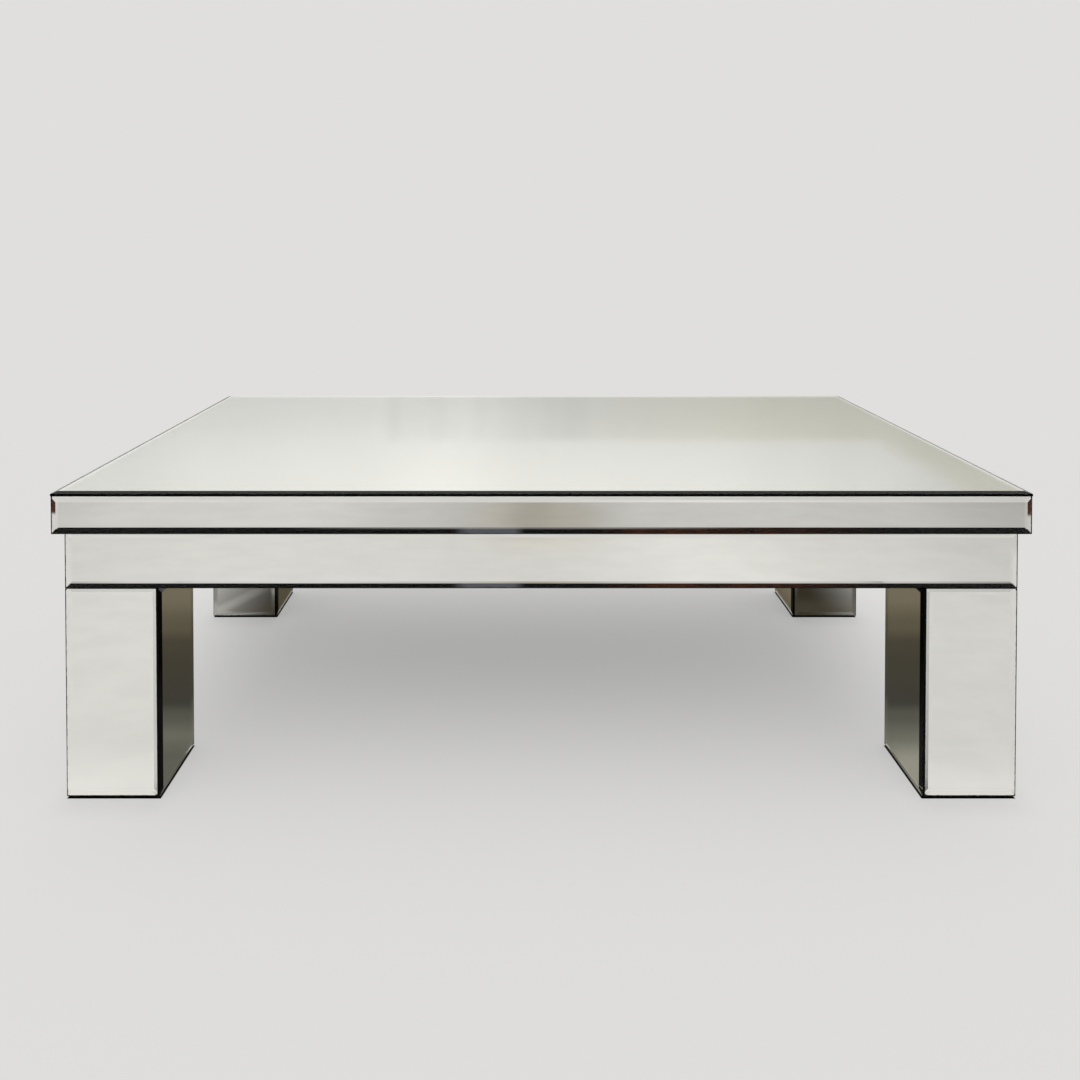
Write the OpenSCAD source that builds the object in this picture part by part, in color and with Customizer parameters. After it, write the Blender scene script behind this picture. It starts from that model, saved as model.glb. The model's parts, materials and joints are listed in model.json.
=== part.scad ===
// Low rectangular coffee table, clad all over in bevelled mirror glass.
// X runs along the width, Y from front to back and Z up, in millimetres.
// The origin is on the floor, under the centre of the top.

/* [Overall] */
// Width of the top, left to right
table_w = 1200; // [900:10:1600]
// Depth of the top, front to back
table_d = 670; // [560:10:1000]
// Height from the floor to the top mirror
table_h = 385; // [340:5:480]

/* [Mirror glass] */
// Thickness of every mirror panel
glass_t = 5; // [4:1:6]
// Width of the bevel ground along each panel's edges
bevel_w = 7; // [4:1:10]
// Depth that the bevel takes off a panel's edge
bevel_drop = 2; // [1:0.5:3]

/* [Top slab] */
// Thickness of the slab, its top mirror included
slab_t = 52; // [48:1:70]
// How far the slab stands out past the apron
overhang = 11; // [5:1:25]
// Thickness of the plywood skins above and below the slab's core
skin_t = 12; // [9:1:12]
// Width of the softwood rails round the slab's core
slab_rail_w = 40; // [30:5:60]
// Number of ribs across the slab's core
rib_count = 3; // [1:1:6]

/* [Apron] */
// Height of the apron under the slab
apron_h = 71; // [66:1:100]
// Thickness of the plywood rails, corner plates and cross bearer
ply_t = 18; // [16:1:20]
// Width and height of the cleats that hold the slab to the apron
cleat_w = 25; // [22:1:27]
// Width of the square plate in each corner of the apron
plate_w = 150; // [140:5:170]

/* [Legs] */
// Width of each square leg, over its mirrors
leg_w = 118; // [112:2:140]
// Thickness of the plywood boards of a leg's core
leg_board_t = 15; // [12:1:16]
// Height of the solid block in the top of a leg
top_block_h = 40; // [34:1:60]
// Height of the solid block in the foot of a leg
foot_block_h = 22; // [20:1:40]
// Gap between the floor and a leg's mirrors
foot_gap = 2; // [1:0.5:3]

/* [Hardware] */
// Spacing of the four bolts in a leg, both ways
bolt_pitch = 36; // [32:1:40]
// Diameter of a leg bolt
bolt_d = 8; // [6:1:8]
// Diameter of a glide under a leg
glide_d = 50; // [30:1:60]
// Thickness of a glide
glide_t = 4; // [4:0.5:6]
// Diameter of the screws through the apron's rails
rail_screw_d = 5; // [4:0.5:5]
// Diameter of the screws through the cleats
cleat_screw_d = 4; // [3:0.5:4.5]

/* [Hidden] */
$fn = 48;
eps = 0.01;

// Each corner of the table: its name, and its signs along X and Y.
CORNERS = [
    ["front_left", -1, -1],
    ["front_right", 1, -1],
    ["back_left", -1, 1],
    ["back_right", 1, 1]
];

// Each side: its name, and the turn about Z that brings the front to it.
SIDES = [["front", 0], ["right", 90], ["back", 180], ["left", 270]];

function side_names(stem) = [for (s = SIDES) str(stem, s[0])];
function corner_names(stem) = [for (c = CORNERS) str(stem, c[0])];

// Heights of the layers, from the floor.
skin_top_z = table_h - glass_t;
slab_z = table_h - slab_t;
core_z = slab_z + skin_t;
core_h = skin_top_z - skin_t - core_z;
apron_z = slab_z - apron_h;
plate_top_z = apron_z + ply_t;
cleat_z = slab_z - cleat_w;

// Half sizes, as [along X, along Y], of the outlines that the layers follow.
slab_half = [table_w / 2, table_d / 2];
slab_core_half = [for (h = slab_half) h - glass_t];
apron_half = [for (h = slab_half) h - overhang];
rail_half = [for (h = apron_half) h - glass_t];
inside_half = [for (h = rail_half) h - ply_t];
leg_at = [for (h = apron_half) h - leg_w / 2];
plate_at = [for (h = inside_half) h - plate_w / 2];

leg_core_w = leg_w - 2 * glass_t;
leg_inner_w = leg_core_w - 2 * leg_board_t;
leg_mirror_h = apron_z - foot_gap;
leg_core_h = apron_z - glide_t;

bearer_h = apron_h - 11;
rib_w = 18;

insert_l = 2.5 * bolt_d;
washer_t = 2;
washer_r = 1.5 * bolt_d;
bolt_head_h = 0.66 * bolt_d;
bolt_head_r = 0.94 * bolt_d;
bolt_clearance = 0.5;
insert_r = 0.75 * bolt_d;
insert_spare = 2;

rail_screw_l = 2.5 * ply_t;
cleat_screw_l = cleat_w + skin_t - 2;
glide_screw_d = 3.5;
glide_screw_l = 16;
glide_screw_sink = 1;
glide_edge = 1;
screw_end_inset = 60;
plate_screw_inset = 30;
cleat_screw_step = 30;

// A long side faces along Y, and a short one along X.
function is_long(side) = side[1] % 180 == 0;
// Half the distance between a pair of opposite sides of an outline.
function reach(side, half) = is_long(side) ? half[1] : half[0];
// The length of an outline's side, less the same amount at both ends.
function run(side, half, less_long, less_short) =
    is_long(side) ? 2 * (half[0] - less_long) : 2 * (half[1] - less_short);

// ---- shared shapes ----

// Section across a panel: flat back, bevelled face.
module panel_section(length) {
    shoulder = length / 2 - bevel_w;
    edge_t = glass_t - bevel_drop;
    polygon([
        [-length / 2, 0],
        [length / 2, 0],
        [length / 2, edge_t],
        [shoulder, glass_t],
        [-shoulder, glass_t],
        [-length / 2, edge_t]
    ]);
}

// A mirror panel with a bevel on all four edges and mitred bevel corners.
// It is centred on X and Y, with its silvered back at z = 0.
module bevelled_panel(width, height) {
    color([0.80, 0.82, 0.80])
        intersection() {
            rotate([90, 0, 0])
                linear_extrude(height, center = true)
                    panel_section(width);
            rotate([90, 0, 90])
                linear_extrude(width, center = true)
                    panel_section(height);
        }
}

// A board of a side: it stands on z, and its outer face is at the given distance from the centre.
module side_board(side, distance, length, thickness, height, z) {
    rotate([0, 0, side[1]])
        translate([-length / 2, -distance, z])
            cube([length, thickness, height]);
}

// Stands a panel up facing outwards on a side, with its silvered back at the given distance.
module side_panel(side, distance, length, height, z) {
    rotate([0, 0, side[1]])
        translate([0, -distance, z + height / 2])
            rotate([90, 0, 0])
                bevelled_panel(length, height);
}

// A countersunk screw that points along +Z, with the face of its head at z = 0.
module countersunk_screw(d, length) {
    head_r = d;
    head_h = 0.6 * d;
    tip_h = 1.2 * d;
    cylinder(r1 = head_r, r2 = d / 2, h = head_h);
    translate([0, 0, head_h])
        cylinder(d = d, h = length - head_h - tip_h);
    translate([0, 0, length - tip_h])
        cylinder(r1 = d / 2, r2 = d / 10, h = tip_h);
}

// A cross recess in the head of a screw that countersunk_screw() makes.
module cross_recess(d) {
    depth = 0.35 * d;
    for (turn = [0, 90])
        rotate([0, 0, turn])
            cube([d, d / 4, 2 * depth], center = true);
}

module drawn_screw(d, length) {
    color([0.72, 0.70, 0.62])
        difference() {
            countersunk_screw(d, length);
            cross_recess(d);
        }
}

// Repeats what is given at the centre of each leg.
module at_legs() {
    for (c = CORNERS)
        translate([c[1] * leg_at[0], c[2] * leg_at[1], 0])
            children();
}

// Repeats what is given on the axis of each of a leg's four bolts.
module at_bolts() {
    for (x = [-1, 1])
        for (y = [-1, 1])
            translate([x * bolt_pitch / 2, y * bolt_pitch / 2, 0])
                children();
}

// ---- where the screws go ----

// Positions along a side, from one end screw to the other.
function screw_row(length, count) =
    [for (i = [0 : count - 1]) -length / 2 + screw_end_inset
        + i * (length - 2 * screw_end_inset) / (count - 1)];

// Along a side of the apron, how far from the centre its corner plates' screws are.
function plate_screw_at(side) =
    let (end = run(side, inside_half, 0, 0) / 2)
    [end - plate_w + plate_screw_inset, run(side, leg_at, 0, 0) / 2];

// The points on a rail, as [along, height], where screws enter it from outside.
function rail_screw_points(side) = concat(
    [for (x = plate_screw_at(side)) for (turn = [-1, 1]) [turn * x, apron_z + ply_t / 2]],
    is_long(side)
        ? [for (turn = [-1, 1]) for (share = [0.45, 0.8])
            [turn * (rail_half[0] - ply_t / 2), apron_z + share * apron_h]]
        : [],
    is_long(side)
        ? [for (share = [0.15, 0.43]) [0, slab_z - (1 - share) * bearer_h]]
        : []
);

// Repeats what is given at each screw in a side's rail, pointing inwards.
module at_rail_screws(side) {
    rotate([0, 0, side[1]])
        for (p = rail_screw_points(side))
            translate([p[0], -reach(side, rail_half), p[1]])
                rotate([-90, 0, 0])
                    children();
}

// A cleat is fixed up into the slab and out into its rail, by turns.
function cleat_length(side) = run(side, inside_half, 0, cleat_w);
function cleat_screw_count(side) = is_long(side) ? 6 : 3;

module at_cleat_screws(side) {
    face = reach(side, inside_half);
    rotate([0, 0, side[1]])
        for (x = screw_row(cleat_length(side), cleat_screw_count(side))) {
            translate([x - cleat_screw_step / 2, cleat_w / 2 - face, cleat_z])
                children();
            translate([x + cleat_screw_step / 2, cleat_w - face, cleat_z + cleat_w / 2])
                rotate([90, 0, 0])
                    children();
        }
}

// All the screw shapes of one kind, to be cut from the wood that they go into.
module rail_screw_holes() {
    for (s = SIDES)
        at_rail_screws(s)
            countersunk_screw(rail_screw_d, rail_screw_l);
}

module cleat_screw_holes() {
    for (s = SIDES)
        at_cleat_screws(s)
            countersunk_screw(cleat_screw_d, cleat_screw_l);
}

// ---- top slab ----

module top_mirror() {
    translate([0, 0, skin_top_z])
        bevelled_panel(table_w, table_d);
}

// The front and back mirrors cover the ends of the side ones.
module edge_mirror(side) {
    side_panel(
        side,
        reach(side, slab_core_half),
        run(side, slab_half, 0, glass_t),
        skin_top_z - slab_z,
        slab_z
    );
}

module skin(z) {
    translate([-slab_core_half[0], -slab_core_half[1], z])
        cube([2 * slab_core_half[0], 2 * slab_core_half[1], skin_t]);
}

module top_board() {
    color([0.80, 0.66, 0.46])
        skin(skin_top_z - skin_t);
}

module underside_board() {
    color([0.16, 0.15, 0.14])
        difference() {
            skin(slab_z);
            cleat_screw_holes();
        }
}

module slab_rail(side) {
    length = run(side, slab_core_half, 0, slab_rail_w);
    color([0.84, 0.71, 0.50])
        side_board(side, reach(side, slab_core_half), length, slab_rail_w, core_h, core_z);
}

module top_ribs() {
    inner_w = 2 * (slab_core_half[0] - slab_rail_w);
    inner_d = 2 * (slab_core_half[1] - slab_rail_w);
    step = inner_w / (rib_count + 1);
    color([0.84, 0.71, 0.50])
        for (i = [1 : rib_count])
            translate([i * step - inner_w / 2 - rib_w / 2, -inner_d / 2, core_z])
                cube([rib_w, inner_d, core_h]);
}

// ---- apron ----

module apron_mirror(side) {
    side_panel(
        side,
        reach(side, rail_half),
        run(side, apron_half, 0, glass_t),
        apron_h,
        apron_z
    );
}

module apron_rail(side) {
    length = run(side, rail_half, 0, ply_t);
    color([0.16, 0.15, 0.14])
        difference() {
            side_board(side, reach(side, rail_half), length, ply_t, apron_h, apron_z);
            rail_screw_holes();
            cleat_screw_holes();
        }
}

// Runs from front to back in the middle, notched at its ends over the cleats.
module cross_bearer() {
    depth = 2 * inside_half[1];
    color([0.16, 0.15, 0.14])
        difference() {
            translate([-ply_t / 2, -depth / 2, slab_z - bearer_h])
                cube([ply_t, depth, bearer_h]);
            for (end = [-1, 1])
                translate([0, end * depth / 2, slab_z])
                    cube([2 * ply_t, 2 * cleat_w, 2 * cleat_w], center = true);
            rail_screw_holes();
        }
}

module cleat(side) {
    color([0.16, 0.15, 0.14])
        difference() {
            side_board(side, reach(side, inside_half), cleat_length(side), cleat_w, cleat_w, cleat_z);
            cleat_screw_holes();
        }
}

module corner_plate(corner) {
    color([0.16, 0.15, 0.14])
        difference() {
            translate([corner[1] * plate_at[0], corner[2] * plate_at[1], apron_z + ply_t / 2])
                cube([plate_w, plate_w, ply_t], center = true);
            rail_screw_holes();
            at_legs()
                at_bolts()
                    translate([0, 0, apron_z - eps])
                        cylinder(r = bolt_d / 2 + bolt_clearance, h = ply_t + 2 * eps);
        }
}

// ---- legs ----

// A leg's inner side mirror covers the edges of its front and back ones, and these cover
// the edges of the outer one.
module leg_mirror(corner, side) {
    is_inner = sin(side[1]) * corner[1] < 0;
    short_l = is_inner ? leg_w : leg_core_w;
    length = is_long(side) ? leg_w - glass_t : short_l;
    outwards = is_long(side) ? corner[1] * glass_t / 2 : 0;
    translate([corner[1] * leg_at[0] + outwards, corner[2] * leg_at[1], 0])
        side_panel(side, leg_core_w / 2, length, leg_mirror_h, foot_gap);
}

// Four boards, butted into a square tube.
module leg_core(corner) {
    half = leg_core_w / 2;
    color([0.80, 0.66, 0.46])
        translate([corner[1] * leg_at[0], corner[2] * leg_at[1], 0])
            for (s = SIDES)
                side_board(
                    s,
                    half,
                    is_long(s) ? leg_core_w : leg_inner_w,
                    leg_board_t,
                    leg_core_h,
                    glide_t
                );
}

module block(height, z) {
    translate([-leg_inner_w / 2, -leg_inner_w / 2, z])
        cube([leg_inner_w, leg_inner_w, height]);
}

module leg_top_blocks() {
    color([0.84, 0.71, 0.50])
        at_legs()
            difference() {
                block(top_block_h, apron_z - top_block_h);
                at_bolts()
                    translate([0, 0, apron_z - insert_l - insert_spare])
                        cylinder(r = insert_r, h = insert_l + insert_spare + eps);
            }
}

module leg_foot_blocks() {
    color([0.84, 0.71, 0.50])
        at_legs()
            difference() {
                block(foot_block_h, glide_t);
                translate([0, 0, glide_screw_sink])
                    countersunk_screw(glide_screw_d, glide_screw_l);
            }
}

// ---- hardware ----

// Hexagon bolts, from above each corner plate down to the bottom of the inserts.
module leg_bolts() {
    seat_z = plate_top_z + washer_t;
    color([0.72, 0.73, 0.74])
        at_legs()
            at_bolts() {
                translate([0, 0, seat_z])
                    cylinder(r = bolt_head_r, h = bolt_head_h, $fn = 6);
                translate([0, 0, apron_z - insert_l])
                    cylinder(d = bolt_d, h = seat_z - apron_z + insert_l);
            }
}

module leg_washers() {
    color([0.72, 0.73, 0.74])
        at_legs()
            at_bolts()
                translate([0, 0, plate_top_z])
                    difference() {
                        cylinder(r = washer_r, h = washer_t);
                        translate([0, 0, -eps])
                            cylinder(r = bolt_d / 2 + bolt_clearance, h = washer_t + 2 * eps);
                    }
}

module leg_inserts() {
    color([0.78, 0.62, 0.32])
        at_legs()
            at_bolts()
                translate([0, 0, apron_z - insert_l])
                    difference() {
                        cylinder(r = insert_r, h = insert_l);
                        translate([0, 0, -eps])
                            cylinder(d = bolt_d, h = insert_l + 2 * eps);
                    }
}

module rail_screws() {
    for (s = SIDES)
        at_rail_screws(s)
            drawn_screw(rail_screw_d, rail_screw_l);
}

module cleat_screws() {
    for (s = SIDES)
        at_cleat_screws(s)
            drawn_screw(cleat_screw_d, cleat_screw_l);
}

// Flat nylon discs with a rounded lower edge and a sunk hole for the screw.
module glides() {
    color([0.20, 0.20, 0.20])
        at_legs()
            difference() {
                union() {
                    cylinder(r1 = glide_d / 2 - glide_edge, r2 = glide_d / 2, h = glide_edge);
                    translate([0, 0, glide_edge])
                        cylinder(d = glide_d, h = glide_t - glide_edge);
                }
                translate([0, 0, -eps])
                    cylinder(r = glide_screw_d, h = glide_screw_sink + 2 * eps);
                translate([0, 0, glide_screw_sink])
                    countersunk_screw(glide_screw_d, glide_screw_l);
            }
}

module glide_screws() {
    at_legs()
        translate([0, 0, glide_screw_sink])
            drawn_screw(glide_screw_d, glide_screw_l);
}

// ---- what is drawn ----

top_mirror();
top_board();
top_ribs();
underside_board();
cross_bearer();

for (s = SIDES) {
    edge_mirror(s);
    slab_rail(s);
    apron_mirror(s);
    apron_rail(s);
    cleat(s);
}

for (c = CORNERS) {
    corner_plate(c);
    leg_core(c);
    for (s = SIDES)
        leg_mirror(c, s);
}

leg_top_blocks();
leg_foot_blocks();
leg_bolts();
leg_washers();
leg_inserts();
rail_screws();
cleat_screws();
glides();
glide_screws();
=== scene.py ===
"""Looks for a low rectangular coffee table clad in bevelled mirror glass.

Every mirror is a solid glass plate with ground bevels and a silvered back, so its bevels bend
what they show as real ones do. The boards and the hardware keep their CAD shapes. Metres.
"""

import json
import math

import bmesh
import bpy
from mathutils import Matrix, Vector


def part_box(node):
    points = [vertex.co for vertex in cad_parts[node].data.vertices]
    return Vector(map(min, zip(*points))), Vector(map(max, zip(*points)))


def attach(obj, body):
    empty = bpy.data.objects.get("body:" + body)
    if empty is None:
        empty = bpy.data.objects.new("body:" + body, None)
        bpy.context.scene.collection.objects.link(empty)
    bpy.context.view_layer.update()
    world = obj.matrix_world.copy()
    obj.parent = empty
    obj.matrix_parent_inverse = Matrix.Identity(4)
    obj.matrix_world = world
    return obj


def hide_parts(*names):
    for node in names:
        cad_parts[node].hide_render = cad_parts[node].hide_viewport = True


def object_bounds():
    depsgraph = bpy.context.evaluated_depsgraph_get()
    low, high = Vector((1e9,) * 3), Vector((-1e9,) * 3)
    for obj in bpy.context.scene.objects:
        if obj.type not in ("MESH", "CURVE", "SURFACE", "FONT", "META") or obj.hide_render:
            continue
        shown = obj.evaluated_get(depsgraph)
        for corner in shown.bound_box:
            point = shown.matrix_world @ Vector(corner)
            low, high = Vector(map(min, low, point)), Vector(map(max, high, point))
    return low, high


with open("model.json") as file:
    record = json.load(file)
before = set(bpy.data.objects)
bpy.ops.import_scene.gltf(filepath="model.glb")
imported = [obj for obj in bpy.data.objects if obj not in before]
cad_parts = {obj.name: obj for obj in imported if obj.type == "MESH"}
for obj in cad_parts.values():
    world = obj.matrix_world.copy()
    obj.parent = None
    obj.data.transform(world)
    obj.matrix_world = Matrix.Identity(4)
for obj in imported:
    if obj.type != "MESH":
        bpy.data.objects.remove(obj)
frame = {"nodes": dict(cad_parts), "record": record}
cad_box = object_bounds()
MM = 0.001

# ---- the mirrors' cross-section ----

BEVEL_W = 7 * MM
BEVEL_DROP = 2 * MM
ARRIS = 0.3 * MM
JOINT_GAP = 0.15 * MM
BACK_GAP = 0.1 * MM
CORNER_R = 0.6 * MM
SHOULDER_R = 0.05 * MM
CORNER_STEPS = 3
SILVER_RIM = 2.5 * MM
GLASS, SILVER, EDGE = range(3)

# ---- the boards ----

PLY_T = 1.4 * MM
LEG_X, LEG_Y = 0.530, 0.265
GRAIN_AXIS = {"top_ribs": "y", "leg_top_blocks": "x", "leg_foot_blocks": "x"}

# ---- the studio ----

# the backdrop and the floor, to the eye
PALE = (0.745, 0.738, 0.725)
WHITE_TINT = (1.02, 1.0, 0.97)
# OPEN_WHITE is the floor's white in open light; SHADED_WHITE is added under the table, where the glow falls
# to match, a painted shadow
OPEN_WHITE, SHADED_WHITE = 0.12, 0.44
FLOOR_R = 3.1
FLOOR_FADE = (1.9, 2.6)
# the room, to the mirrors
SKY = 0.80
DARK = (0.003, 0.003, 0.003)
BROWN_THINGS = (0.036, 0.011, 0.005)
BLUE_THINGS = (0.085, 0.088, 0.105)
FLOOR_THINGS = (0.055, 0.018, 0.009)
FRONT_HORIZON, BACK_HORIZON = (0.075, 0.14), (0.03, 0.09)
LEAST_DEPTH = 0.2
DADO_TOP = (0.221, 0.235)
DADO_SLOPE = 0.57
# the camera
CAMERA_AT = (-0.0245, -1.422, 0.6966)
CAMERA_TILT_DOWN = 1.06
SENSOR_W = 36
LENS = 29.87
LENS_SHIFT = (0.0172, -0.2653)


# ================= node helpers =================


def new_material(name):
    """An empty node material, with its tree and its output node."""
    mat = bpy.data.materials.new(name)
    mat.use_nodes = True
    mat.node_tree.nodes.clear()
    out = mat.node_tree.nodes.new("ShaderNodeOutputMaterial")
    return mat, mat.node_tree, out


def add(tree, kind, **settings):
    """A new node, with its properties and the default values of its inputs set by name."""
    node = tree.nodes.new(kind)
    for key, value in settings.items():
        if key in node.inputs:
            node.inputs[key].default_value = value
        else:
            setattr(node, key, value)
    return node


def feed(tree, socket, value):
    """Gives a socket a number, a colour or another node's output."""
    if isinstance(value, (int, float)):
        socket.default_value = value
    elif isinstance(value, tuple):
        socket.default_value = (*value, 1.0)[: len(socket.default_value)]
    else:
        tree.links.new(value, socket)


def sums(tree, operation, *values):
    """A Math node on numbers or outputs; returns its output."""
    node = add(tree, "ShaderNodeMath", operation=operation)
    for socket, value in zip(node.inputs, values):
        feed(tree, socket, value)
    return node.outputs[0]


def ramp(tree, value, low, high, to_low=0.0, to_high=1.0):
    """Smoothly maps low..high to to_low..to_high."""
    node = add(tree, "ShaderNodeMapRange", interpolation_type="SMOOTHSTEP")
    feed(tree, node.inputs["Value"], value)
    for name, number in (("From Min", low), ("From Max", high), ("To Min", to_low), ("To Max", to_high)):
        node.inputs[name].default_value = number
    return node.outputs["Result"]


def mix(tree, factor, a, b, blend="MIX"):
    """Mixes two colours or outputs."""
    node = add(tree, "ShaderNodeMix", data_type="RGBA", blend_type=blend)
    feed(tree, node.inputs[0], factor)
    feed(tree, node.inputs[6], a)
    feed(tree, node.inputs[7], b)
    return node.outputs[2]


def tint(tree, colour, by):
    """The colour times another colour or a number's output."""
    return mix(tree, 1.0, colour, by, "MULTIPLY")


def noise(tree, vector, scale, detail=3.0, roughness=0.55, distortion=0.0):
    """Noise with so many cells to the metre."""
    node = add(tree, "ShaderNodeTexNoise", Scale=scale, Detail=detail,
               Roughness=roughness, Distortion=distortion)
    tree.links.new(vector, node.inputs["Vector"])
    return node.outputs["Fac"]


def stretched(tree, vector, scale):
    """The vector scaled by (x, y, z)."""
    node = add(tree, "ShaderNodeMapping")
    node.inputs["Scale"].default_value = scale
    tree.links.new(vector, node.inputs["Vector"])
    return node.outputs["Vector"]


def along(tree, vector, axis, across):
    """The vector squeezed by across on the two axes that cross the grain."""
    return stretched(tree, vector, tuple(1.0 if a == axis else across for a in "xyz"))


def moved(tree, vector, shift):
    """The vector with the shift added."""
    node = add(tree, "ShaderNodeVectorMath", operation="ADD")
    tree.links.new(vector, node.inputs[0])
    node.inputs[1].default_value = shift
    return node.outputs[0]


def length(tree, vector):
    """The vector's length."""
    node = add(tree, "ShaderNodeVectorMath", operation="LENGTH")
    tree.links.new(vector, node.inputs[0])
    return node.outputs["Value"]


def split(tree, vector):
    """The vector's x, y and z outputs."""
    node = add(tree, "ShaderNodeSeparateXYZ")
    tree.links.new(vector, node.inputs[0])
    return node.outputs


def coordinates(tree):
    """The object's own coordinates, which are the part's too."""
    return add(tree, "ShaderNodeTexCoord").outputs["Object"]


def bump(tree, height, distance, strength=1.0):
    """A bump normal from a height output."""
    node = add(tree, "ShaderNodeBump", Strength=strength, Distance=distance)
    tree.links.new(height, node.inputs["Height"])
    return node.outputs["Normal"]


def worn_edges(tree, radius, where):
    """1 on the outer edges that handling rubs, in broken patches, and 0 elsewhere."""
    rounded = add(tree, "ShaderNodeBevel", samples=6, Radius=radius)
    turned = add(tree, "ShaderNodeVectorMath", operation="DOT_PRODUCT")
    tree.links.new(rounded.outputs[0], turned.inputs[0])
    tree.links.new(add(tree, "ShaderNodeNewGeometry").outputs["Normal"], turned.inputs[1])
    patches = ramp(tree, noise(tree, where, 70.0, 4.0, 0.65), 0.42, 0.60)
    return sums(tree, "MULTIPLY", ramp(tree, turned.outputs["Value"], 0.86, 0.99, 1.0, 0.0), patches)


def principled(tree, out, **inputs):
    """A Principled shader on the output, with each input a number, a colour or another output."""
    node = add(tree, "ShaderNodeBsdfPrincipled")
    for name, value in inputs.items():
        feed(tree, node.inputs[name.replace("_", " ")], value)
    tree.links.new(node.outputs[0], out.inputs["Surface"])
    return node


# ================= the mirrors' materials =================


def make_glass():
    """Clear float glass with a faint warm cast, a few smears, fine dust and a hardly wavy face."""
    mat, tree, out = new_material("float_glass")
    where = coordinates(tree)
    smears = noise(tree, stretched(tree, where, (1.0, 1.6, 1.0)), 9.0, 5.0, 0.62, 0.6)
    dust = noise(tree, where, 900.0, 2.0, 0.5)
    haze = sums(tree, "ADD", ramp(tree, smears, 0.50, 0.80, 0.004, 0.022),
                ramp(tree, dust, 0.62, 0.78, 0.0, 0.012))
    principled(
        tree, out,
        Base_Color=(0.985, 0.992, 0.960),
        Transmission_Weight=1.0,
        IOR=1.52,
        Specular_Tint=(0.08, 0.08, 0.08),
        Roughness=haze,
        Normal=bump(tree, noise(tree, where, 5.5, 1.0, 0.4), 0.9 * MM, 0.1),
    )
    return mat


def make_silver():
    """The silver coat behind the glass, a little cloudy, browned in places where damp reached its rim."""
    mat, tree, out = new_material("silver_coat")
    where = coordinates(tree)
    rim = add(tree, "ShaderNodeAttribute", attribute_name="silver_rim").outputs["Fac"]
    spots = noise(tree, where, 120.0, 4.0, 0.65)
    browned = sums(tree, "MULTIPLY", ramp(tree, rim, 0.3, 1.0), ramp(tree, spots, 0.46, 0.62))
    cloud = noise(tree, where, 3.0, 2.0)
    clean = mix(tree, ramp(tree, cloud, 0.3, 0.7), (0.930, 0.925, 0.880), (0.950, 0.948, 0.905))
    principled(
        tree, out,
        Base_Color=mix(tree, browned, clean, (0.022, 0.014, 0.008)),
        Metallic=1.0,
        Roughness=sums(tree, "ADD", ramp(tree, cloud, 0.3, 0.7, 0.012, 0.022),
                       sums(tree, "MULTIPLY", browned, 0.20)),
    )
    return mat


def make_glass_edge():
    """The ground edge of a plate, sealed against damp: dark green, with fine grinding lines and nicks."""
    mat, tree, out = new_material("ground_edge")
    where = coordinates(tree)
    tone = noise(tree, where, 45.0, 4.0, 0.6)
    nicks = ramp(tree, noise(tree, where, 420.0, 2.0), 0.68, 0.74)
    base = mix(tree, ramp(tree, tone, 0.35, 0.7), (0.0005, 0.0009, 0.0007), (0.0016, 0.0028, 0.0021))
    principled(
        tree, out,
        Base_Color=mix(tree, nicks, base, (0.012, 0.017, 0.014)),
        Specular_IOR_Level=0.05,
        Roughness=ramp(tree, tone, 0.3, 0.7, 0.28, 0.46),
        Normal=bump(tree, noise(tree, where, 1500.0, 2.0), 0.03 * MM, 0.4),
    )
    return mat


# ================= the boards' and hardware's materials =================


def plies(tree, depth):
    """0 and 1 by turns through a plywood board's thickness."""
    return ramp(tree, sums(tree, "PINGPONG", depth, PLY_T), 0.45 * PLY_T, 0.55 * PLY_T)


def make_plywood(axis, hollow=False):
    """Raw birch plywood. In a hollow leg core the plies follow the four walls of the tube."""
    mat, tree, out = new_material("birch_plywood_" + axis)
    where = coordinates(tree)
    x, y, z = split(tree, where)
    if hollow:
        from_x = sums(tree, "ABSOLUTE", sums(tree, "SUBTRACT", sums(tree, "ABSOLUTE", x), LEG_X))
        from_y = sums(tree, "ABSOLUTE", sums(tree, "SUBTRACT", sums(tree, "ABSOLUTE", y), LEG_Y))
        layers = plies(tree, sums(tree, "MAXIMUM", from_x, from_y))
    else:
        layers = plies(tree, z)
    figure = noise(tree, along(tree, where, axis, 7.0), 5.0, 4.0, 0.6, 0.8)
    fibre = noise(tree, along(tree, where, axis, 40.0), 28.0, 3.0, 0.6)
    face = mix(tree, ramp(tree, figure, 0.35, 0.68), (0.70, 0.52, 0.31), (0.80, 0.64, 0.43))
    colour = mix(tree, sums(tree, "MULTIPLY", layers, 0.38), face, (0.36, 0.21, 0.10))
    principled(
        tree, out,
        Base_Color=mix(tree, ramp(tree, fibre, 0.55, 0.75, 0.0, 0.30), colour, (0.42, 0.27, 0.14)),
        Roughness=ramp(tree, fibre, 0.3, 0.7, 0.55, 0.72),
        Normal=bump(tree, fibre, 0.15 * MM, 0.5),
    )
    return mat


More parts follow.
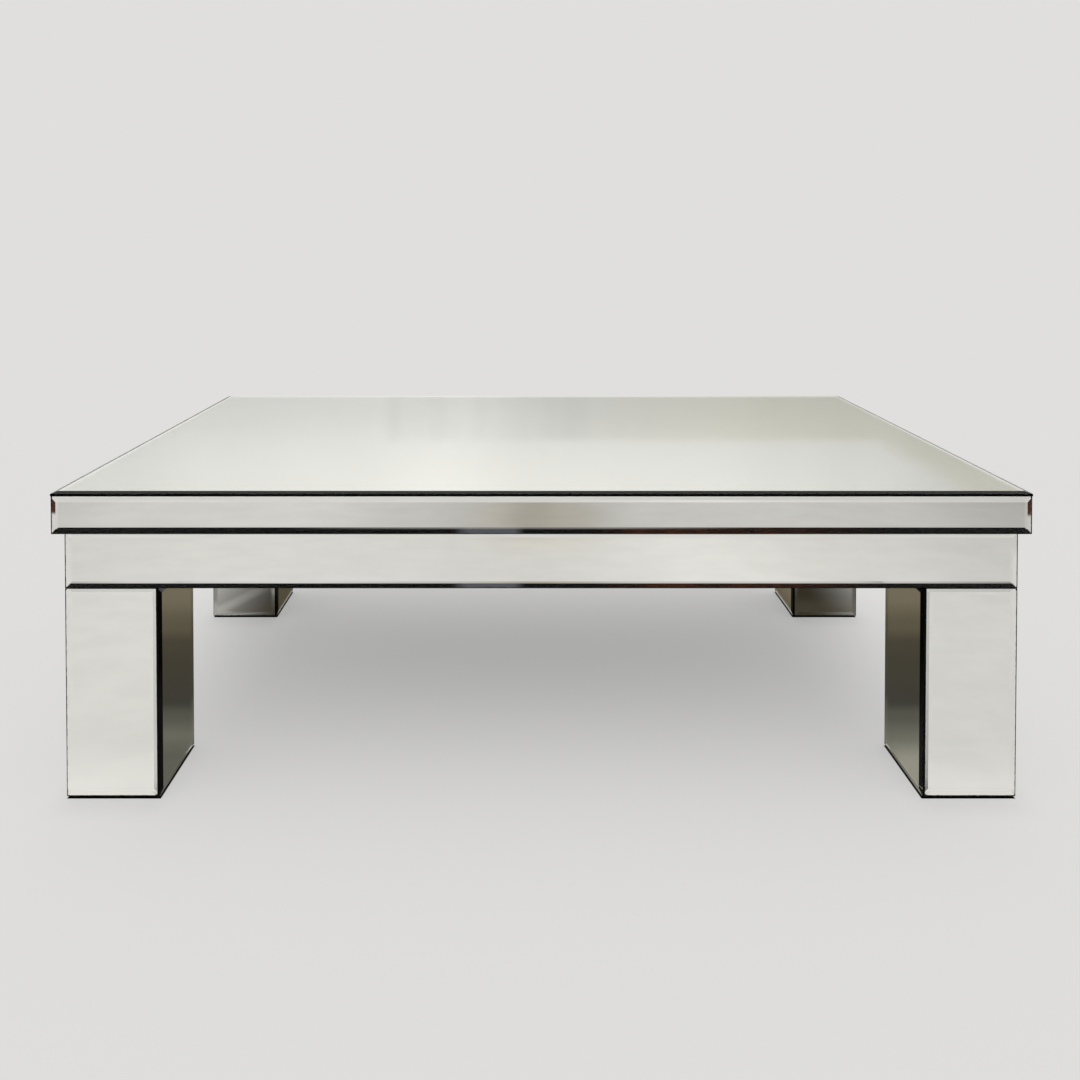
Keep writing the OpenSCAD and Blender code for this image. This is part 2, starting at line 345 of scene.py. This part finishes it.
def make_softwood(axis):
    """Planed pine: growth rings drawn out along the board, fine fibres and a few resin streaks."""
    mat, tree, out = new_material("planed_pine_" + axis)
    where = coordinates(tree)
    rings = add(tree, "ShaderNodeTexWave", Scale=1.6, Distortion=5.0, Detail=3.0,
                bands_direction="X" if axis == "y" else "Y")
    rings.inputs["Detail Scale"].default_value = 1.4
    tree.links.new(along(tree, where, axis, 26.0), rings.inputs["Vector"])
    fibre = noise(tree, along(tree, where, axis, 30.0), 30.0, 3.0, 0.6)
    streaks = ramp(tree, noise(tree, along(tree, where, axis, 18.0), 6.0, 2.0), 0.68, 0.76)
    wood = mix(tree, ramp(tree, rings.outputs["Fac"], 0.45, 0.98), (0.80, 0.63, 0.38), (0.56, 0.35, 0.15))
    wood = mix(tree, sums(tree, "MULTIPLY", streaks, 0.45), wood, (0.42, 0.22, 0.08))
    principled(
        tree, out,
        Base_Color=mix(tree, ramp(tree, fibre, 0.5, 0.8, 0.0, 0.25), wood, (0.47, 0.30, 0.14)),
        Roughness=ramp(tree, fibre, 0.3, 0.7, 0.45, 0.62),
        Normal=bump(tree, fibre, 0.12 * MM, 0.5),
    )
    return mat


def make_black_board(axis):
    """Plywood brushed with matt black stain: grain shows through, and wood does at rubbed edges."""
    mat, tree, out = new_material("black_stained_ply_" + axis)
    where = coordinates(tree)
    grain = noise(tree, along(tree, where, axis, 30.0), 14.0, 4.0, 0.6, 0.4)
    brushed = noise(tree, along(tree, where, axis, 5.0), 9.0, 3.0, 0.5)
    stain = mix(tree, ramp(tree, grain, 0.45, 0.72), (0.016, 0.015, 0.014), (0.060, 0.052, 0.044))
    stain = mix(tree, ramp(tree, brushed, 0.45, 0.75, 0.0, 0.5), stain, (0.036, 0.034, 0.032))
    wear = worn_edges(tree, 1.2 * MM, where)
    principled(
        tree, out,
        Base_Color=mix(tree, wear, stain, (0.30, 0.20, 0.11)),
        Roughness=sums(tree, "ADD", ramp(tree, grain, 0.3, 0.7, 0.46, 0.66),
                       sums(tree, "MULTIPLY", wear, 0.1)),
        Normal=bump(tree, grain, 0.18 * MM, 0.6),
    )
    return mat


def make_zinc():
    """Zinc plate: a bluish and straw-coloured bloom over bright metal, dulled and scratched."""
    mat, tree, out = new_material("zinc_plate")
    where = coordinates(tree)
    bloom = noise(tree, where, 110.0, 4.0, 0.6)
    scratch = noise(tree, stretched(tree, where, (1.0, 1.0, 9.0)), 700.0, 3.0, 0.7)
    colour = mix(tree, ramp(tree, bloom, 0.35, 0.65), (0.56, 0.59, 0.63), (0.68, 0.65, 0.56))
    principled(
        tree, out,
        Base_Color=mix(tree, worn_edges(tree, 0.4 * MM, where), colour, (0.80, 0.80, 0.79)),
        Metallic=1.0,
        Roughness=ramp(tree, scratch, 0.3, 0.7, 0.26, 0.46),
        Normal=bump(tree, scratch, 0.02 * MM, 0.5),
    )
    return mat


def make_brass():
    """Turned brass: fine tool lines round the axis and a dull brown film in patches."""
    mat, tree, out = new_material("turned_brass")
    where = coordinates(tree)
    lines = noise(tree, stretched(tree, where, (1.0, 1.0, 60.0)), 90.0, 2.0)
    film = noise(tree, where, 140.0, 3.0)
    principled(
        tree, out,
        Base_Color=mix(tree, ramp(tree, film, 0.45, 0.72), (0.78, 0.58, 0.25), (0.50, 0.34, 0.14)),
        Metallic=1.0,
        Roughness=ramp(tree, lines, 0.3, 0.7, 0.22, 0.40),
        Normal=bump(tree, lines, 0.02 * MM, 0.5),
    )
    return mat


def make_nylon():
    """Moulded black nylon with a fine spark-eroded skin, scuffed pale at its rim."""
    mat, tree, out = new_material("black_nylon")
    where = coordinates(tree)
    skin = noise(tree, where, 2600.0, 2.0)
    tone = noise(tree, where, 60.0, 3.0)
    base = mix(tree, ramp(tree, tone, 0.35, 0.7), (0.020, 0.020, 0.021), (0.034, 0.034, 0.035))
    principled(
        tree, out,
        Base_Color=mix(tree, worn_edges(tree, 0.8 * MM, where), base, (0.13, 0.13, 0.125)),
        Roughness=ramp(tree, tone, 0.3, 0.7, 0.42, 0.58),
        Normal=bump(tree, skin, 0.03 * MM, 0.5),
    )
    return mat


WOODEN = {"plywood": make_plywood, "softwood": make_softwood, "black_board": make_black_board}
OTHER = {"zinc_steel": make_zinc, "brass": make_brass, "nylon": make_nylon}


def grain_axis(node):
    """The axis that a board's grain runs along: its own longest side, but for blocks and ribs in groups."""
    lo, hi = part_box(node)
    return GRAIN_AXIS.get(node, "xyz"[max(range(3), key=lambda i: (hi - lo)[i])])


def dress(parts):
    """Gives every CAD node that shows its own shape the material of its slot."""
    made = {}
    for part in parts:
        node, slot = part["node"], part["material_slot"]
        key = (slot, grain_axis(node) if slot in WOODEN else "")
        if key not in made:
            if node.startswith("leg_core"):
                made[key] = make_plywood(key[1], hollow=True)
            elif slot in WOODEN:
                made[key] = WOODEN[slot](key[1])
            else:
                made[key] = OTHER[slot]()
        target = frame["nodes"][node]
        if not target.material_slots:
            target.data.materials.append(made[key])
        for material_slot in target.material_slots:
            material_slot.material = made[key]


# ================= mirrors =================

OUTWARD = {
    "front": Vector((0, -1, 0)),
    "back": Vector((0, 1, 0)),
    "left": Vector((-1, 0, 0)),
    "right": Vector((1, 0, 0)),
    "mirror": Vector((0, 0, 1)),
}


def ring(width, height, inset, radius):
    """Points round a rectangle with rounded corners, taken in from its outline by the inset."""
    half_w, half_h = width / 2 - inset, height / 2 - inset
    points = []
    for i, (sx, sy) in enumerate(((1, 1), (-1, 1), (-1, -1), (1, -1))):
        for k in range(CORNER_STEPS + 1):
            a = math.radians(90) * (i + k / CORNER_STEPS)
            points.append((
                sx * (half_w - radius) + radius * math.cos(a),
                sy * (half_h - radius) + radius * math.sin(a),
            ))
    return points


def make_mirror(node, materials):
    """A bevelled glass plate with a silvered back, in the place of a CAD mirror."""
    lo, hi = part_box(node)
    out = OUTWARD[node.split("_")[-1]]
    size, centre = hi - lo, (lo + hi) / 2
    up = Vector((0, 1, 0)) if out.z else Vector((0, 0, 1))
    across = up.cross(out)
    full_t = abs(size.dot(out))
    thickness = full_t - BACK_GAP
    width = abs(size.dot(across)) - 2 * JOINT_GAP
    height = abs(size.dot(up)) - 2 * JOINT_GAP
    back = centre - out * (full_t / 2 - BACK_GAP)
    edge_t = thickness - BEVEL_DROP
    shoulder_z = edge_t + ARRIS * BEVEL_DROP / BEVEL_W
    # inset from the outline, height above the silver, corner radius, and the material down to the last ring
    levels = [
        (SILVER_RIM, 0.0, CORNER_R, None),
        (ARRIS, 0.0, CORNER_R, SILVER),
        (0.0, ARRIS, CORNER_R, EDGE),
        (0.0, edge_t - ARRIS, CORNER_R, EDGE),
        (ARRIS, shoulder_z, CORNER_R, EDGE),
        (BEVEL_W, thickness, SHOULDER_R, GLASS),
    ]
    bm = bmesh.new()
    rim = bm.verts.layers.float.new("silver_rim")
    rings = []
    for inset, z, radius, _ in levels:
        rings.append([bm.verts.new(back + across * x + up * y + out * z)
                      for x, y in ring(width, height, inset, radius)])
    for vert in rings[1]:
        vert[rim] = 1.0
    bm.faces.new(list(reversed(rings[0]))).material_index = SILVER
    for low, high, (_, _, _, material) in zip(rings, rings[1:], levels[1:]):
        for i in range(len(low)):
            j = (i + 1) % len(low)
            bm.faces.new((low[i], low[j], high[j], high[i])).material_index = material
    bm.faces.new(rings[-1]).material_index = GLASS
    bmesh.ops.recalc_face_normals(bm, faces=bm.faces)
    mesh = bpy.data.meshes.new("glass_" + node)
    bm.to_mesh(mesh)
    bm.free()
    for material in materials:
        mesh.materials.append(material)
    piece = bpy.data.objects.new("glass_" + node, mesh)
    bpy.context.scene.collection.objects.link(piece)
    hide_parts(node)
    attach(piece, "root")


# ================= the studio =================


def grey_stops(tree, value, low, high, stops):
    """A grey that eases through (place, brightness) stops as value goes from low to high."""
    node = add(tree, "ShaderNodeValToRGB")
    node.color_ramp.interpolation = "EASE"
    points = node.color_ramp.elements
    while len(points) < len(stops):
        points.new(1.0)
    for point, (place, brightness) in zip(points, stops):
        point.position = (place - low) / (high - low)
        point.color = (brightness, brightness, brightness, 1.0)
    scaled = sums(tree, "DIVIDE", sums(tree, "SUBTRACT", value, low), high - low)
    tree.links.new(scaled, node.inputs["Fac"])
    return node.outputs["Color"]


def far_wall(tree, x, y, z):
    """The room beyond the table, by x and z over depth: a window's soft glow, and a darker dado that
    turns the right-hand corner."""
    depth = sums(tree, "MAXIMUM", y, LEAST_DEPTH)
    u, v = sums(tree, "DIVIDE", x, depth), sums(tree, "DIVIDE", z, depth)
    wall = grey_stops(tree, u, -0.6, 0.6, [
        (-0.60, 0.70), (-0.45, 0.78), (-0.35, 0.86), (-0.20, 0.90), (-0.09, 0.97), (0.02, 0.89),
        (0.20, 0.865), (0.30, 0.81), (0.38, 0.765), (0.50, 0.66),
    ])
    behind = sums(tree, "MULTIPLY", ramp(tree, v, *DADO_TOP, 1.0, 0.0), ramp(tree, u, -0.160, -0.144))
    rise = sums(tree, "SUBTRACT", v, sums(tree, "MULTIPLY", u, DADO_SLOPE))
    beside = sums(tree, "MULTIPLY", ramp(tree, rise, -0.014, 0.014, 1.0, 0.0), ramp(tree, u, 0.30, 0.40))
    dado = sums(tree, "MAXIMUM", behind, beside)
    spread = add(tree, "ShaderNodeCombineXYZ")
    tree.links.new(u, spread.inputs[0])
    streaks = ramp(tree, noise(tree, spread.outputs[0], 26.0, 1.0), 0.35, 0.65, -0.02, 0.02)
    streaks = sums(tree, "MULTIPLY", streaks, ramp(tree, u, 0.02, 0.12, 1.0, 0.25))
    depth_of_shade = sums(tree, "ADD", ramp(tree, u, -0.04, 0.05, 0.05, 0.115), streaks)
    shade = sums(tree, "MULTIPLY", dado, depth_of_shade)
    haze = ramp(tree, v, 0.16, 0.28, 0.17, 0.0)
    lit = tint(tree, wall, sums(tree, "SUBTRACT", 1.0, sums(tree, "ADD", shade, haze)))
    warm = sums(tree, "MULTIPLY", dado, ramp(tree, u, 0.0, 0.3))
    return mix(tree, warm, lit, tint(tree, lit, (1.02, 1.01, 0.94)))


def make_world():
    """Pale all round to the eye. What the mirrors see is a soft room that ends dark at the horizon."""
    world = bpy.data.worlds.new("studio")
    bpy.context.scene.world = world
    world.use_nodes = True
    tree = world.node_tree
    tree.nodes.clear()
    out = tree.nodes.new("ShaderNodeOutputWorld")
    x, y, z = split(tree, add(tree, "ShaderNodeTexCoord").outputs["Generated"])
    sky = grey_stops(tree, z, 0.0, 1.0, [(0.0, SKY), (0.3, 0.84), (0.6, 0.74), (1.0, 0.82)])
    sky = mix(tree, ramp(tree, y, 0.4, 0.7), sky, far_wall(tree, x, y, z))
    # brown and bluish things at the horizon in front
    nearer = sums(tree, "MAXIMUM", sums(tree, "MULTIPLY", y, -1.0), LEAST_DEPTH)
    side = sums(tree, "DIVIDE", x, nearer)
    spread = add(tree, "ShaderNodeCombineXYZ")
    tree.links.new(side, spread.inputs[0])
    tree.links.new(sums(tree, "MULTIPLY", z, 2.0), spread.inputs[2])
    things = noise(tree, spread.outputs[0], 22.0, 3.0, 0.6)
    brown = sums(tree, "MULTIPLY", ramp(tree, side, 0.07, 0.12), ramp(tree, side, 0.26, 0.40, 1.0, 0.0))
    brown = sums(tree, "MULTIPLY", brown, ramp(tree, things, 0.38, 0.60, 0.25, 1.0))
    band = mix(tree, brown, DARK, BROWN_THINGS)
    blue = sums(tree, "MULTIPLY", ramp(tree, side, -0.075, -0.055), ramp(tree, side, -0.01, 0.005, 1.0, 0.0))
    band = mix(tree, blue, band, BLUE_THINGS)
    in_front = ramp(tree, y, -0.2, 0.2, 1.0, 0.0)
    above = mix(tree, in_front, ramp(tree, z, *BACK_HORIZON), ramp(tree, z, *FRONT_HORIZON))
    room = mix(tree, above, band, sky)
    seen = mix(tree, add(tree, "ShaderNodeLightPath").outputs["Is Camera Ray"], room, PALE)
    background = add(tree, "ShaderNodeBackground", Strength=1.0)
    tree.links.new(seen, background.inputs["Color"])
    tree.links.new(background.outputs[0], out.inputs["Surface"])


def floor_shader(tree, white, glow):
    """A diffuse white of that strength, with a glow added to it."""
    diffuse = add(tree, "ShaderNodeBsdfDiffuse")
    feed(tree, diffuse.inputs["Color"], white)
    light = add(tree, "ShaderNodeEmission")
    feed(tree, light.inputs["Color"], glow)
    both = add(tree, "ShaderNodeAddShader")
    tree.links.new(diffuse.outputs[0], both.inputs[0])
    tree.links.new(light.outputs[0], both.inputs[1])
    return both.outputs[0]


def mix_shader(tree, factor, a, b):
    """Mixes two shaders' outputs."""
    node = add(tree, "ShaderNodeMixShader")
    for socket, output in zip(node.inputs, (factor, a, b)):
        tree.links.new(output, socket)
    return node.outputs[0]


def between(tree, value, low, high, soft):
    """1 from low to high and 0 outside, easing over the soft width within the limits."""
    return sums(tree, "MULTIPLY", ramp(tree, value, low, low + soft),
                ramp(tree, value, high - soft, high, 1.0, 0.0))


def leg_shade(tree, x, y):
    """Painted shadow on the floor: 1 right under the four legs, and a faint painted shade close round them.
    """
    shade = 0.0
    for corner in ("front_left", "front_right", "back_left", "back_right"):
        x0, x1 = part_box(corner + "_leg_mirror_left")[0].x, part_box(corner + "_leg_mirror_right")[1].x
        y0, y1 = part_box(corner + "_leg_mirror_front")[0].y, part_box(corner + "_leg_mirror_back")[1].y
        under = sums(tree, "MULTIPLY", between(tree, x, x0, x1, 1.5 * MM), between(tree, y, y0, y1, 1.5 * MM))
        close = sums(tree, "MULTIPLY", between(tree, x, x0 - 0.03, x1 + 0.03, 0.05),
                     between(tree, y, y0 - 0.05, y1 + 0.03, 0.05))
        close = sums(tree, "MULTIPLY", close, 0.07)
        shade = sums(tree, "MAXIMUM", shade, sums(tree, "MAXIMUM", under, close))
    return shade


def front_floor(tree, x, y):
    """What lies in front of the table, for the mirrors: a pale floor whose brightness is painted light, with
    a few soft painted shades.
    """
    # painted shade across the floor, darkest straight ahead far off, lighter and darker by turns nearer
    far = grey_stops(tree, x, -1.3, 1.3, [
        (-1.20, 0.60), (-1.00, 0.66), (-0.60, 0.69), (-0.28, 0.58), (-0.12, 0.51), (0.0, 0.41),
        (0.10, 0.46), (0.30, 0.59), (0.60, 0.605), (0.90, 0.58), (1.20, 0.475),
    ])
    middle = grey_stops(tree, x, -1.3, 1.3, [
        (-1.00, 0.685), (-0.70, 0.73), (-0.30, 0.72), (0.0, 0.69), (0.36, 0.80), (0.70, 0.70), (1.05, 0.61),
    ])
    # painted light: brighter close to the table's front, and a little painted shade towards the right
    near = ramp(tree, y, -0.43, -0.33, 0.735, 0.83)
    near = sums(tree, "MULTIPLY", near, ramp(tree, x, -0.5, 0.5, 1.0, 0.93))
    shown = mix(tree, ramp(tree, y, -1.40, -1.24), far, middle)
    shown = mix(tree, ramp(tree, y, -1.02, -0.82), shown, near)
    things = sums(tree, "MULTIPLY", between(tree, sums(tree, "ABSOLUTE", x), 0.70, 0.94, 0.02),
                  between(tree, y, -1.85, -1.61, 0.03))
    return mix(tree, things, shown, FLOOR_THINGS)


def eye_floor(tree, x, y):
    """The floor that the eye sees: a diffuse white that takes the table's real shade, plus a glow, which is
    painted light. Under the table the white is strongest and the glow weakest, a painted shadow that deepens
    the real one, and in open light white and glow always add up to the backdrop's brightness."""
    hi = cad_box[1]
    # painted shadow: where the table stands the glow is lowered and the white raised
    shaded = sums(tree, "MULTIPLY", ramp(tree, y, -0.58, 0.15),
                  ramp(tree, y, hi.y - 0.05, hi.y + 0.3, 1.0, 0.0))
    shaded = sums(tree, "MULTIPLY", shaded,
                  ramp(tree, sums(tree, "ABSOLUTE", x), hi.x - 0.2, hi.x + 0.15, 1.0, 0.0))
    white = sums(tree, "ADD", OPEN_WHITE, sums(tree, "MULTIPLY", shaded, SHADED_WHITE))
    white = tint(tree, WHITE_TINT, white)
    glow = mix(tree, 1.0, PALE, tint(tree, white, (SKY, SKY, SKY)), "SUBTRACT")
    # the floor's white and glow dimmed by the legs' painted shadow
    outside_leg_shadow = sums(tree, "SUBTRACT", 1.0, leg_shade(tree, x, y))
    return floor_shader(tree, tint(tree, white, outside_leg_shadow), tint(tree, glow, outside_leg_shadow))


def painted_shadow_floor(tree, x, y, aside):
    """What lies under the table, for the mirrors: a painted shadow, dim and warm, darkest in the middle of
    its depth, lighter to the right at the front.
    """
    dim = grey_stops(tree, y, -0.35, 0.35, [
        (-0.34, 0.17), (-0.26, 0.20), (-0.19, 0.16), (-0.13, 0.10), (-0.09, 0.055), (0.03, 0.06),
        (0.10, 0.07), (0.17, 0.115), (0.30, 0.18),
    ])
    painted_light_to_right = mix(tree, ramp(tree, y, -0.24, -0.18), ramp(tree, x, -0.4, 0.4, 0.65, 1.6), (1.0, 1.0, 1.0))
    dim = tint(tree, dim, painted_light_to_right)
    warm = mix(tree, ramp(tree, y, -0.2, 0.15), (1.0, 0.98, 0.84), (1.0, 0.86, 0.62))
    dim = tint(tree, dim, warm)
    # more painted shade towards the sides at the back
    dimmer = sums(tree, "MULTIPLY", ramp(tree, aside, 0.40, 0.47, 0.0, 0.5), ramp(tree, y, 0.0, 0.08))
    return tint(tree, dim, sums(tree, "SUBTRACT", 1.0, dimmer))


def mirror_floor(tree, where, x, y):
    """The floor that the mirrors see, all glow and so painted light: pale in front with one warm painted
    shadow spot, dim with painted shadow under the table.
    """
    lo, hi = cad_box
    front = tint(tree, front_floor(tree, x, y), (1.0, 0.985, 1.0))
    # a warm painted shadow, soft and round, far in front of the table
    spot = length(tree, stretched(tree, moved(tree, where, (-0.02, 1.45, 0.0)), (4.5, 3.0, 1.0)))
    front = mix(tree, ramp(tree, spot, 0.1, 1.1, 1.0, 0.0), front,
                tint(tree, front, (1.0, 0.945, 0.855)))
    # where the painted shadow under the table lies, a little off centre
    aside = sums(tree, "ABSOLUTE", sums(tree, "SUBTRACT", x, 0.03))
    below = sums(tree, "MULTIPLY", ramp(tree, aside, 0.50, 0.78, 1.0, 0.0),
                 between(tree, y, lo.y - 0.01, hi.y + 0.10, 0.04))
    shown = mix(tree, below, front, painted_shadow_floor(tree, x, y, aside))
    # a soft slanting painted light streak in a patch of painted shade, in front of the back left leg
    slant = sums(tree, "ADD", x, sums(tree, "MULTIPLY_ADD", y, 0.48, 0.500))
    streak = sums(tree, "MULTIPLY_ADD", between(tree, slant, -0.028, 0.028, 0.024), 0.34, -0.25)
    patch = sums(tree, "MULTIPLY", between(tree, x, -0.72, -0.46, 0.04),
                 between(tree, y, 0.03, 0.42, 0.05))
    shown = tint(tree, shown, sums(tree, "MULTIPLY_ADD", streak, patch, 1.0))
    mottle = noise(tree, stretched(tree, where, (10.0, 16.0, 1.0)), 1.0, 4.0, 0.62)
    shown = tint(tree, shown, ramp(tree, mottle, 0.3, 0.7, 0.965, 1.02))
    light = add(tree, "ShaderNodeEmission")
    tree.links.new(shown, light.inputs["Color"])
    return light.outputs[0]


def make_floor():
    """A pale round floor that fades into the backdrop and is see-through from below. It glows, painted light
    with painted shade, and the mirrors see it otherwise than the eye does."""
    bpy.ops.mesh.primitive_circle_add(vertices=96, radius=FLOOR_R, fill_type="NGON")
    floor = bpy.context.object
    floor.name = "floor"
    mat, tree, out = new_material("studio_floor")
    where = coordinates(tree)
    x, y, _ = split(tree, where)
    eye = add(tree, "ShaderNodeLightPath").outputs["Is Camera Ray"]
    shown = mix_shader(tree, eye, mirror_floor(tree, where, x, y), eye_floor(tree, x, y))
    clear = add(tree, "ShaderNodeBsdfTransparent").outputs[0]
    faded = ramp(tree, length(tree, where), *FLOOR_FADE)
    below_it = add(tree, "ShaderNodeNewGeometry").outputs["Backfacing"]
    shown = mix_shader(tree, sums(tree, "MAXIMUM", faded, below_it), shown, clear)
    tree.links.new(shown, out.inputs["Surface"])
    floor.data.materials.append(mat)


def make_camera():
    """Low and central in front of the table, nearly level, with the lens shifted down to frame it."""
    data = bpy.data.cameras.new("camera")
    camera = bpy.data.objects.new("camera", data)
    bpy.context.scene.collection.objects.link(camera)
    camera.location = CAMERA_AT
    camera.rotation_euler = (math.radians(90 - CAMERA_TILT_DOWN), 0, 0)
    data.sensor_width = SENSOR_W
    data.lens = LENS
    data.shift_x, data.shift_y = LENS_SHIFT
    bpy.context.scene.camera = camera


bpy.context.scene.view_settings.view_transform = "Standard"
subparts = frame["record"]["subparts"]
plate_materials = (make_glass(), make_silver(), make_glass_edge())
for part in subparts:
    if part["material_slot"] == "mirror":
        make_mirror(part["node"], plate_materials)
dress([part for part in subparts if part["material_slot"] != "mirror"])
make_world()
make_floor()
make_camera()
